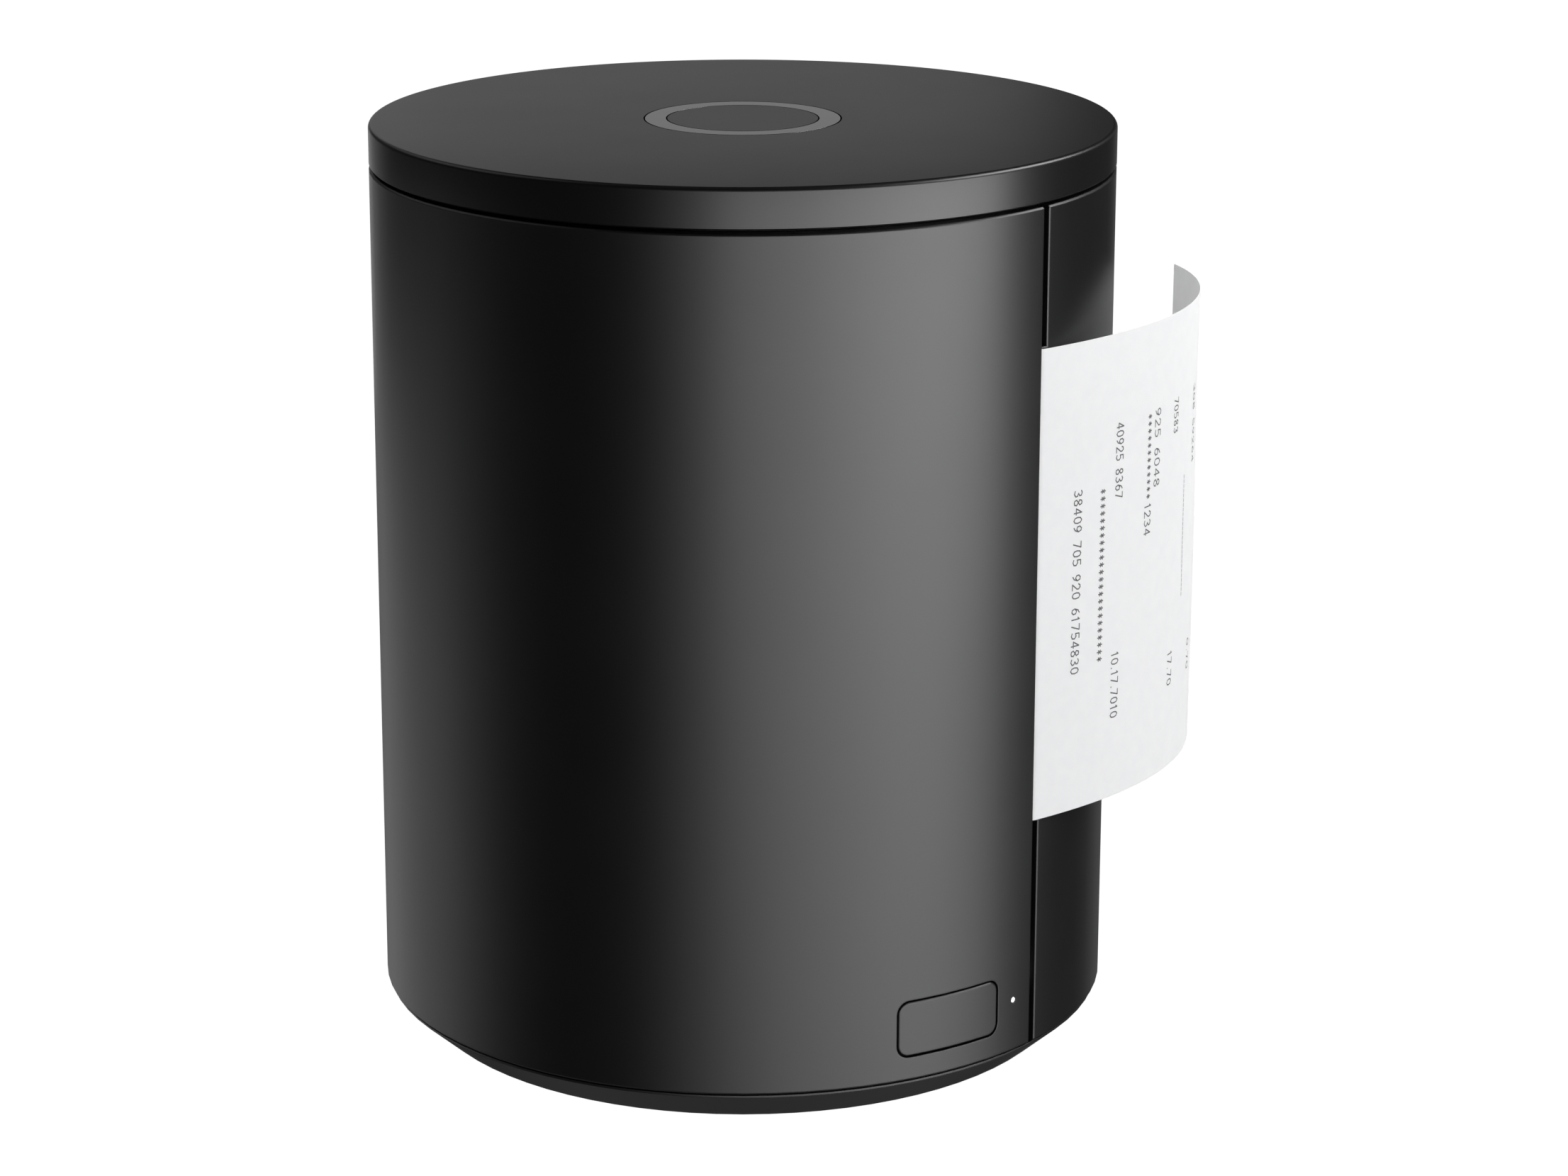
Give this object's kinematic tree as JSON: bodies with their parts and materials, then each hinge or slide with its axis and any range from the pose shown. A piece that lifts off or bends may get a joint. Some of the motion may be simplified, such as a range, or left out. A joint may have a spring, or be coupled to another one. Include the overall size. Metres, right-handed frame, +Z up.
{
  "type": "receipt printer",
  "caption": "Round counter-top thermal receipt printer: drum body, hinged paper door beside a vertical slot, feed button, status light, curled printed slip.",
  "frame": {"origin": "on the underside, on the drum's centre line, where the foot pad meets the counter", "axes": "+Z up along the drum, -Y towards the front with the button, +X towards the side where the slip comes out"},
  "size_m": [0.1409, 0.125, 0.1563],
  "materials": {
    "case_black": "satin black plastic",
    "polished_dark": "dark polished inlay",
    "paper_white": "thermal paper",
    "light_white": "clear white light pipe",
    "rubber_black": "soft black rubber",
    "steel": "turned steel",
    "plated_steel": "zinc-plated sheet steel",
    "aluminium": "extruded aluminium",
    "board_green": "green circuit board",
    "gear_white": "natural acetal",
    "chassis_grey": "dark grey moulded plastic",
    "card": "wound card tube",
    "brass": "turned brass",
    "ceramic_white": "glazed ceramic head board",
    "socket_black": "moulded black socket plastic"
  },
  "bodies": {
    "body": {"base_screw_1": "steel", "base_screw_2": "steel", "base_screw_3": "steel", "base_screw_4": "steel", "base_tray": "case_black", "bay_ceiling": "chassis_grey", "ceiling_screw_1": "steel", "ceiling_screw_2": "steel", "ceiling_screw_3": "steel", "chassis_deck": "chassis_grey", "control_board": "board_green", "cutter_fixed_blade": "plated_steel", "door_strike": "steel", "drawer_socket": "socket_black", "drive_gear_axle": "steel", "feed_motor": "plated_steel", "feed_switch": "socket_black", "foot_pad": "rubber_black", "frame_post_1": "plated_steel", "frame_post_2": "plated_steel", "frame_post_3": "plated_steel", "head_bracket": "plated_steel", "head_heat_sink": "aluminium", "head_spring_1": "steel", "head_spring_2": "steel", "hinge_pin": "steel", "lid_inlay_ring": "polished_dark", "main_board": "board_green", "main_shell": "case_black", "paper_web": "paper_white", "port_panel": "chassis_grey", "power_capacitor": "socket_black", "power_socket": "socket_black", "print_head": "ceramic_white", "spindle_post": "plated_steel", "status_led": "light_white", "status_light_pipe": "light_white", "top_lid": "case_black", "usb_socket": "socket_black"},
    "door": {"paper_door": "case_black", "door_magnet": "plated_steel", "platen_bushing_lower": "brass", "platen_bushing_upper": "brass", "cutter_guide": "chassis_grey", "cutter_motor": "plated_steel", "receipt": "paper_white"},
    "platen": {"platen_roller": "rubber_black", "platen_shaft": "steel", "platen_gear": "gear_white"},
    "drive": {"drive_gear": "gear_white"},
    "pinion": {"motor_pinion": "brass", "motor_shaft": "steel"},
    "roll": {"roll_turntable": "gear_white", "roll_core": "card", "paper_roll": "paper_white"},
    "button": {"feed_button": "case_black", "switch_plunger": "socket_black"},
    "blade": {"cutter_moving_blade": "plated_steel"},
    "cutter_drive": {"cutter_pinion": "brass"}
  },
  "joints": [
    {"name": "door_hinge", "type": "hinge", "parent": "body", "child": "door", "pos_m": [-0.01836, 0.05649, 0.078], "axis": [0, 0, 1], "range_deg": [0, 100]},
    {"name": "button_press", "type": "slide", "parent": "body", "child": "button", "axis": [-0.5468, 0.8372, 0], "range_m": [0, 0.0007], "stiffness_N_per_m": 1500, "springref_m": -0.0004},
    {"name": "drive_spin", "type": "hinge", "parent": "body", "child": "drive", "pos_m": [0.01715, -0.04327, 0.038], "axis": [0, 0, 1], "continuous": true},
    {"name": "pinion_spin", "type": "hinge", "parent": "body", "child": "pinion", "pos_m": [0.0067, -0.03449, 0.038], "axis": [0, 0, 1], "continuous": true},
    {"name": "platen_spin", "type": "hinge", "parent": "door", "child": "platen", "pos_m": [0.0306, -0.0409, 0.086], "axis": [0, 0, 1], "continuous": true},
    {"name": "roll_spin", "type": "hinge", "parent": "body", "child": "roll", "pos_m": [-0.00832, 0.0076, 0.05], "axis": [0, 0, 1], "continuous": true},
    {"name": "blade_slide", "type": "slide", "parent": "door", "child": "blade", "axis": [0.3584, -0.9336, 0], "range_m": [0, 0.0019]},
    {"name": "cutter_spin", "type": "hinge", "parent": "door", "child": "cutter_drive", "pos_m": [0.0417, -0.02935, 0.127], "axis": [0, 0, 1], "range_deg": [0, 26]}
  ],
  "couplings": [
    {"joint": "pinion_spin", "follows": "drive_spin", "ratio": -2},
    {"joint": "platen_spin", "follows": "drive_spin", "ratio": -2},
    {"joint": "cutter_spin", "follows": "blade_slide", "rad_per_m": 238.1}
  ]
}
